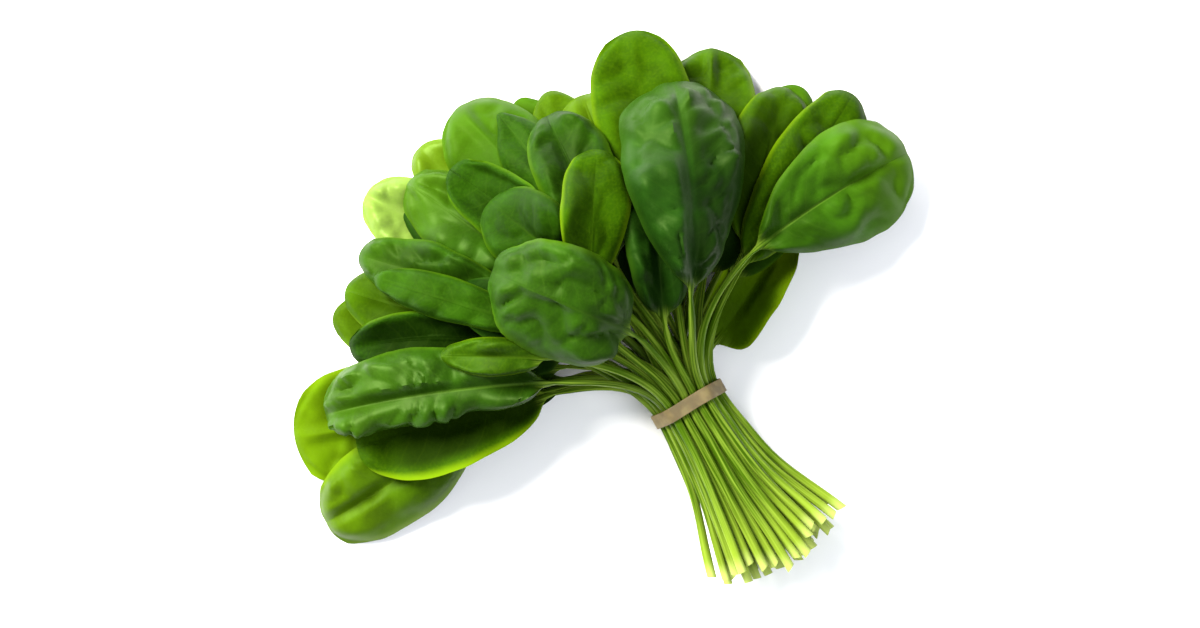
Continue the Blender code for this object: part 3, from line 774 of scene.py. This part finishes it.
class Finish:
    """A material's node tree, with one way to add a node."""

    def __init__(self, name):
        self.material = bpy.data.materials.new(name)
        self.material.use_nodes = True
        self.tree = self.material.node_tree
        self.tree.nodes.clear()

    def add(self, kind, *values, named=None, output=0, **settings):
        """A new node, and what it puts out: one output, or all of them for None. values go to its
        sockets in their order, and named to sockets by name or number. Each is a constant or
        another node's output."""
        node = self.tree.nodes.new(kind)
        for key, value in settings.items():
            setattr(node, key, value)
        for key, value in {**dict(enumerate(values)), **(named or {})}.items():
            if isinstance(value, bpy.types.NodeSocket):
                self.tree.links.new(value, node.inputs[key])
            else:
                node.inputs[key].default_value = value
        return node.outputs if output is None else node.outputs[output]


def leaf_finish(name, leaf, length, light, seed):
    """Fresh spinach, grown and rinsed. Its blade is thin and softly waxed: broad, green-tinted
    highlights and no mirror, pale veins in shallow grooves, and light that shines through it in a
    translucent layer, with painted light at its tip and rim and painted shade in its middle, near
    its petiole and right of a fold. Its petiole is paler, ribbed lengthwise and wetter, darker as
    painted shade the lower its leaf lies, and its knife cut is nearly white."""
    dull, fresh, through, vein_colour = TONES[leaf.tone]
    body = blend((dull, fresh), light)
    fresh, through, vein_colour = from_hex(fresh), from_hex(through), from_hex(vein_colour)
    dark = tuple(c * 0.62 for c in body[:3]) + (1,)
    shadow = tuple(c * 0.3 for c in dark[:3]) + (1,)
    f = Finish(name)
    math_node, ramp, mix = "ShaderNodeMath", "ShaderNodeMapRange", "ShaderNodeMix"
    place = f.add("ShaderNodeAttribute", output="Vector", attribute_name="place")
    vein = f.add("ShaderNodeAttribute", output="Fac", attribute_name="vein")
    cut = f.add("ShaderNodeAttribute", output="Fac", attribute_name="from_cut")
    to_right, along, rim = f.add("ShaderNodeSeparateXYZ", place, output=None)
    aside = f.add(math_node, to_right, operation="ABSOLUTE")
    spot = f.add("ShaderNodeVectorMath", place, (seed * 3.7, seed * 1.3, 0.0), operation="ADD")
    noises = []
    for scale, detail in ((VEIN_BENDS, 1.0), (CLOUDS, 3.0), (GRAIN, 4.0)):
        noises.append(f.add("ShaderNodeTexNoise", spot, named={"Scale": scale, "Detail": detail}))
    bent, cloud, grain = noises

    # Side veins lie where vein is a whole number. off is how far away that is, in millimetres.
    off = bent
    for operation, *by in (
        ("SUBTRACT", 0.5), ("MULTIPLY", 0.35), ("ADD", vein), ("ADD", 0.5), ("FRACT",),
        ("SUBTRACT", 0.5), ("ABSOLUTE",), ("MULTIPLY", SIDE_VEIN_SPAN),
    ):
        off = f.add(math_node, off, *by, operation=operation)
    side_vein = f.add(ramp, off, 0.12, 0.5, 1.0, 0.0, **SMOOTH)
    fade = f.add(ramp, rim, 0.55, 0.95, 1.0, 0.1, **SMOOTH)
    side_vein = f.add(math_node, side_vein, fade, operation="MULTIPLY")
    net = f.add(
        "ShaderNodeTexVoronoi", spot, named={"Scale": NET, "Randomness": 0.9},
        output="Distance", feature="DISTANCE_TO_EDGE",
    )
    net = f.add(ramp, net, 0.0, 0.09, 1.0, 0.0, **SMOOTH)
    midrib = f.add(ramp, aside, 0.3, 0.95, 1.0, 0.0, **SMOOTH)
    thinner = f.add(ramp, along, 0.25 * length, 0.9 * length, 1.0, 0.2, **SMOOTH)
    midrib = f.add(math_node, midrib, thinner, operation="MULTIPLY")
    veins = f.add(math_node, midrib, leaf.rib, operation="MULTIPLY")
    for pattern, strength in ((side_vein, 0.10), (net, 0.05)):
        pattern = f.add(math_node, pattern, strength, operation="MULTIPLY")
        veins = f.add(math_node, veins, pattern, operation="MAXIMUM")

    # Painted shade: the blade is darkened in its middle, near its petiole and right of a fold, where
    # the heap's own shade would fall.
    middle = f.add(ramp, rim, 0.5, 0.9, leaf.deep, 0.0, **SMOOTH)
    before_tip = f.add(ramp, along, 0.7 * length, length, 1.0, 0.2, **SMOOTH)
    middle = f.add(math_node, middle, before_tip, operation="MULTIPLY")
    base = 0.8 * (1 - 0.7 * leaf.edge)
    shaded = f.add(ramp, along, 0.0, 0.75 * length, base, 0.0, **SMOOTH)
    if leaf.fold:
        turned = f.add(ramp, to_right, 1.0, 4.0, 0.0, 0.75, **SMOOTH)
        shaded = f.add(math_node, shaded, turned, operation="MAXIMUM")
    shaded = f.add(math_node, middle, shaded, operation="MAXIMUM")

    # Its green in layers: cloudy, fresher in its pebbles, with painted shade, then painted light, as
    # if lit through, at the tip and the rim, with the veins on top.
    pebbles = f.add(ramp, grain, 0.4, 0.7, **SMOOTH)
    tip_light = max(0.0, leaf.light - 0.4)
    rim_light = 0.1 + 0.75 * leaf.edge
    layers = (
        (f.add(ramp, cloud, 0.35, 0.68, **SMOOTH), body),
        (f.add(math_node, pebbles, 0.22, operation="MULTIPLY"), fresh),
        (shaded, shadow),
        (f.add(ramp, along, 0.4 * length, length, 0.0, tip_light, **SMOOTH), through),
        (f.add(ramp, rim, 0.93 - 0.2 * leaf.edge, 1.0, 0.0, rim_light, **SMOOTH), through),
        (f.add(math_node, veins, 0.8 - 0.5 * leaf.deep, operation="MULTIPLY"), vein_colour),
    )
    green = dark
    for share, over in layers:
        green = f.add(mix, share, named={6: green, 7: over}, **COLOURS)

    # The petiole is paler towards its cut, with faint streaks along it. Each one's green differs a
    # little at random, and painted shade darkens it the lower its leaf lies.
    streak_at = f.add("ShaderNodeVectorMath", spot, STREAKS, operation="MULTIPLY")
    streak = f.add("ShaderNodeTexNoise", streak_at, named={"Scale": 1.0, "Detail": 2.0})
    streak = f.add(ramp, streak, 0.4, 0.65, **SMOOTH)
    streak = f.add(math_node, streak, 0.55, operation="MULTIPLY")
    from_cut = f.add(ramp, cut, 0.0, 42.0, **SMOOTH)
    at_cut = f.add(ramp, cut, 0.0, 9.0, 0.75, 0.0, **SMOOTH)
    # Random tone plus painted shade: the petioles of lower leaves are darker.
    shade = 0.45 + 0.4 * ((seed * 0.618) % 1.0) + 0.25 * seed / len(LEAVES)
    stalk = from_hex("#7f992b")
    for share, over, way in (
        (from_cut, from_hex("#395806"), "MIX"),
        (1.0, (shade, shade, shade * 0.9, 1.0), "MULTIPLY"),
        (streak, from_hex("#87a235"), "MIX"),
        (at_cut, from_hex("#aebd66"), "MIX"),
    ):
        stalk = f.add(mix, share, named={6: stalk, 7: over}, blend_type=way, **COLOURS)
    on_blade = f.add(ramp, along, -2.0, 7.0, **SMOOTH)
    colour = f.add(mix, on_blade, named={6: stalk, 7: green}, **COLOURS)

    # Relief too fine to model: veins lie in shallow grooves, the skin between them is pebbled.
    pebble = f.add(math_node, grain, 0.25, operation="MULTIPLY")
    groove = f.add(math_node, veins, 0.5, operation="MULTIPLY")
    height = f.add(math_node, pebble, groove, operation="SUBTRACT")
    relief = {"Height": height, "Strength": 0.6, "Distance": 0.25 * MM}
    relief = f.add("ShaderNodeBump", named=relief, output="Normal")
    rough = f.add(math_node, grain, 0.16, operation="MULTIPLY")
    rough = f.add(math_node, rough, 0.46 - 0.14 * leaf.sheen, operation="ADD")
    skin = {
        "Base Color": colour,
        "Roughness": rough,
        "Normal": relief,
        "Specular IOR Level": 0.06 + 0.40 * leaf.sheen,
        "Specular Tint": blend(TINTS, leaf.sheen),
    }
    skin = f.add("ShaderNodeBsdfPrincipled", named=skin)
    glow = f.add(mix, on_blade, named={6: from_hex("#85a52c"), 7: through}, **COLOURS)
    glow = f.add("ShaderNodeBsdfTranslucent", named={"Color": glow, "Normal": relief})
    thinness = 0.30 if leaf.tone == "pale" else 0.17
    share = f.add(ramp, along, -3.0, 6.0, 0.10, thinness, **SMOOTH)
    surface = f.add("ShaderNodeMixShader", share, skin, glow)
    f.add("ShaderNodeOutputMaterial", surface, output=None)
    return f.material


def rubber_finish():
    """Moulded natural rubber, tan and unfilled. It is dull with soft highlights and darker where
    it has rubbed, and a little light passes into it."""
    f = Finish("Tan natural rubber")
    at = f.add("ShaderNodeTexCoord", output="Object")
    # Rubbed patches of 4.5 mm: 220 to the metre.
    cloud = f.add("ShaderNodeTexNoise", at, named={"Scale": 220.0, "Detail": 4.0})
    rubbed = f.add("ShaderNodeMapRange", cloud, 0.35, 0.7, **SMOOTH)
    colour = {6: from_hex("#5b4e2d"), 7: from_hex("#72643b")}
    colour = f.add("ShaderNodeMix", rubbed, named=colour, **COLOURS)
    relief = {"Height": cloud, "Strength": 0.35, "Distance": 0.15 * MM}
    relief = f.add("ShaderNodeBump", named=relief, output="Normal")
    skin = {
        "Base Color": colour,
        "Roughness": 0.62,
        "Normal": relief,
        "Subsurface Weight": 0.08,
        "Subsurface Scale": 1.5 * MM,
    }
    skin = f.add("ShaderNodeBsdfPrincipled", named=skin)
    f.add("ShaderNodeOutputMaterial", skin, output=None)
    return f.material


def table_finish():
    """White matt lacquer on board: even and without gloss, so the bunch has only soft shadows."""
    f = Finish("Matt white table top")
    at = f.add("ShaderNodeTexCoord", output="Object")
    # Faint unevenness 330 mm across: 3 to the metre.
    cloud = f.add("ShaderNodeTexNoise", at, named={"Scale": 3.0, "Detail": 3.0})
    colour = {6: from_hex("#f4f5f6"), 7: from_hex("#fbfbfb")}
    colour = f.add("ShaderNodeMix", cloud, named=colour, **COLOURS)
    skin = {"Base Color": colour, "Roughness": 0.8}
    skin = f.add("ShaderNodeBsdfPrincipled", named=skin)
    f.add("ShaderNodeOutputMaterial", skin, output=None)
    return f.material


# ---------------------------------------------------------------- the band


def band_loop(count, inset):
    """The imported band's outer skin drawn in by inset, as it goes round the petioles: (count, 2)
    in X and Z, evenly spaced, and the band's two ends in Y."""
    points, _ = merged_points(BAND_NODE)
    corners = hull(points[:, (0, 2)])
    closed = np.vstack([corners, corners[:1]])
    run = np.concatenate([[0], np.cumsum(np.linalg.norm(np.diff(closed, axis=0), axis=1))])
    at = np.linspace(0, run[-1], count, endpoint=False)
    loop = np.stack([np.interp(at, run, closed[:, k]) for k in range(2)], axis=1)
    for _ in range(4):  # corners become gentle bends
        loop = loop * 0.5 + (np.roll(loop, 1, axis=0) + np.roll(loop, -1, axis=0)) * 0.25
    return loop - outward(loop) * inset, points[:, 1].min(), points[:, 1].max()


def hull(points):
    """The corners of the convex outline of points in a plane, anticlockwise."""
    points = sorted(set(map(tuple, points)))

    def chain(run):
        kept = []
        for p in run:
            while len(kept) > 1:
                (ax, ay), (bx, by) = kept[-2], kept[-1]
                if (bx - ax) * (p[1] - ay) - (by - ay) * (p[0] - ax) > 0:
                    break
                kept.pop()
            kept.append(p)
        return kept[:-1]

    return np.array(chain(points) + chain(points[::-1]))


def outward(loop):
    """Directions away from the middle of an anticlockwise loop."""
    turn = np.roll(loop, -1, axis=0) - np.roll(loop, 1, axis=0)
    out = np.stack([turn[:, 1], -turn[:, 0]], axis=1)
    return out / np.linalg.norm(out, axis=1, keepdims=True)


# ---------------------------------------------------------------- operators


class SPINACH_OT_leaves(bpy.types.Operator):
    """Grow a fine leaf in place of each packed one and lay it on those below"""

    bl_idname = "spinach.leaves"
    bl_label = "Grow the leaves"

    def execute(self, context):
        settings = context.scene.spinach_leaf
        draw = np.random.default_rng(SEED)
        heap = Heap(CAD_BOX[0], CAD_BOX[1])
        band_low, band_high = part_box(BAND_NODE)
        free_from = band_high[1] + 4 * MM
        band_middle = (band_low[1] + band_high[1]) / 2
        for index, leaf in enumerate(LEAVES):
            fine = FineLeaf(leaf, settings, band_middle, draw)
            heap.rest(fine, free_from, settings.clearance)
            piece = plant(fine)
            light = float(np.clip(leaf.light + draw.uniform(-0.08, 0.08), 0, 1))
            finish = f"Spinach leaf, {leaf.tone} green, {leaf.name}"
            skin = leaf_finish(finish, leaf, fine.length / MM, light, index)
            piece.data.materials.append(skin)
            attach(piece, BODY)
            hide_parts(leaf.name)
        return {"FINISHED"}


class SPINACH_OT_band(bpy.types.Operator):
    """Stretch the rubber band round the petioles"""

    bl_idname = "spinach.band"
    bl_label = "Stretch the rubber band"

    def execute(self, context):
        settings = context.scene.spinach_band
        loop, low, high = band_loop(120, settings.thickness / 2)
        out = outward(loop)
        section = rounded_section((high - low) / 2, settings.thickness / 2, 0.35 * MM)
        middle = (low + high) / 2
        rows = []
        for k in range(len(loop) + 1):
            k %= len(loop)
            wander = 0.25 * MM * math.sin(3 * 2 * math.pi * k / len(loop) + 1)
            rows.append(
                [
                    (loop[k, 0] + out[k, 0] * b, middle + wander + a, loop[k, 1] + out[k, 1] * b)
                    for a, b in section
                ]
            )
        deselect()
        bpy.ops.mesh.primitive_grid_add(
            x_subdivisions=len(section) - 1, y_subdivisions=len(loop), size=1, calc_uvs=True
        )
        band = bpy.context.object
        band.name = "stretched_band"
        band.data.vertices.foreach_set("co", np.array(rows).reshape(-1))
        bpy.ops.object.mode_set(mode="EDIT")
        bpy.ops.mesh.select_all(action="SELECT")
        bpy.ops.mesh.remove_doubles(threshold=MERGE)
        bpy.ops.mesh.normals_make_consistent(inside=False)
        bpy.ops.object.mode_set(mode="OBJECT")
        bpy.ops.object.shade_smooth_by_angle(angle=math.radians(40))
        band.data.materials.append(rubber_finish())
        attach(band, BODY)
        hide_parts(BAND_NODE)
        return {"FINISHED"}


def rounded_section(half_width, half_height, corner):
    """A closed rectangle with rounded corners, its first point given again at the end."""
    points = []
    for cx, cy, start in ((1, 1, 0), (-1, 1, 90), (-1, -1, 180), (1, -1, 270)):
        for step in range(5):
            a = math.radians(start + step * 22.5)
            points.append(
                (
                    cx * (half_width - corner) + corner * math.cos(a),
                    cy * (half_height - corner) + corner * math.sin(a),
                )
            )
    return points + points[:1]


class SPINACH_OT_stage(bpy.types.Operator):
    """Set the table, the lamps and the camera"""

    bl_idname = "spinach.stage"
    bl_label = "Set the stage"

    def execute(self, context):
        settings = context.scene.spinach_stage
        deselect()
        bpy.ops.mesh.primitive_plane_add(size=8.0, location=(0, 0, 0))
        table = bpy.context.object
        table.name = "table_top"
        table.data.materials.append(table_finish())

        world = bpy.data.worlds.new("Soft room light")
        context.scene.world = world
        world.use_nodes = True
        sky = world.node_tree.nodes["Background"]
        sky.inputs["Color"].default_value = from_hex("#f4f6f8")
        sky.inputs["Strength"].default_value = settings.fill

        up, right = image_axes()
        for name, across_by, up_by, height, size, share, colour in LAMPS:
            location = right * across_by + up * up_by + Vector((0, 0, height))
            lamp(name, location, size, settings.key * share, colour)

        bpy.ops.object.camera_add()
        camera = bpy.context.object
        camera.name = "Camera above"
        band_low, band_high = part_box(BAND_NODE)
        aim = (band_low + band_high) / 2 - right * AIM_LEFT + up * AIM_UP
        camera.location = Vector((aim.x, aim.y, LEAF_LEVEL + settings.height))
        back = Vector((0, 0, 1))
        turned = Matrix((right, up, back)).transposed().to_4x4()
        camera.matrix_world = Matrix.Translation(camera.location) @ turned
        camera.data.sensor_width = SENSOR
        camera.data.lens = SENSOR * settings.height / settings.view_width
        camera.data.clip_end = 20.0
        context.scene.camera = camera
        context.scene.view_settings.view_transform = "Standard"
        return {"FINISHED"}


def image_axes():
    """The view's upward and rightward directions on the table. The camera is turned so that the
    petioles point down to the right."""
    turn = math.radians(CAMERA_TURN)
    return Vector((math.sin(turn), math.cos(turn), 0)), Vector((math.cos(turn), -math.sin(turn), 0))


def lamp(name, location, size, power, colour):
    """A round area lamp that points at the middle of the table."""
    deselect()
    bpy.ops.object.light_add(type="AREA", location=location)
    light = bpy.context.object
    light.name = name
    light.data.shape = "DISK"
    light.data.size = size
    light.data.energy = power
    light.data.color = from_hex(colour)[:3]
    light.rotation_mode = "QUATERNION"
    light.rotation_quaternion = (-location).to_track_quat("-Z", "Y")


class SPINACH_PT_panel(bpy.types.Panel):
    """The steps in order, with their settings"""

    bl_label = "Spinach bunch"
    bl_idname = "SPINACH_PT_panel"
    bl_space_type = "VIEW_3D"
    bl_region_type = "UI"
    bl_category = "Spinach"

    def draw(self, context):
        for group, operator in (
            ("spinach_leaf", "spinach.leaves"),
            ("spinach_band", "spinach.band"),
            ("spinach_stage", "spinach.stage"),
        ):
            box = self.layout.box()
            settings = getattr(context.scene, group)
            for name in settings.bl_rna.properties.keys():
                if name not in ("rna_type", "name"):
                    box.prop(settings, name)
            box.operator(operator)


CLASSES = (
    LeafSettings,
    BandSettings,
    StageSettings,
    SPINACH_OT_leaves,
    SPINACH_OT_band,
    SPINACH_OT_stage,
    SPINACH_PT_panel,
)


def register():
    for cls in CLASSES:
        bpy.utils.register_class(cls)
    bpy.types.Scene.spinach_leaf = bpy.props.PointerProperty(type=LeafSettings)
    bpy.types.Scene.spinach_band = bpy.props.PointerProperty(type=BandSettings)
    bpy.types.Scene.spinach_stage = bpy.props.PointerProperty(type=StageSettings)


def unregister():
    del bpy.types.Scene.spinach_stage
    del bpy.types.Scene.spinach_band
    del bpy.types.Scene.spinach_leaf
    for cls in reversed(CLASSES):
        bpy.utils.unregister_class(cls)


def main():
    """Runs the steps in order."""
    register()
    bpy.ops.spinach.leaves()
    bpy.ops.spinach.band()
    bpy.ops.spinach.stage()


if __name__ == "__main__":
    main()
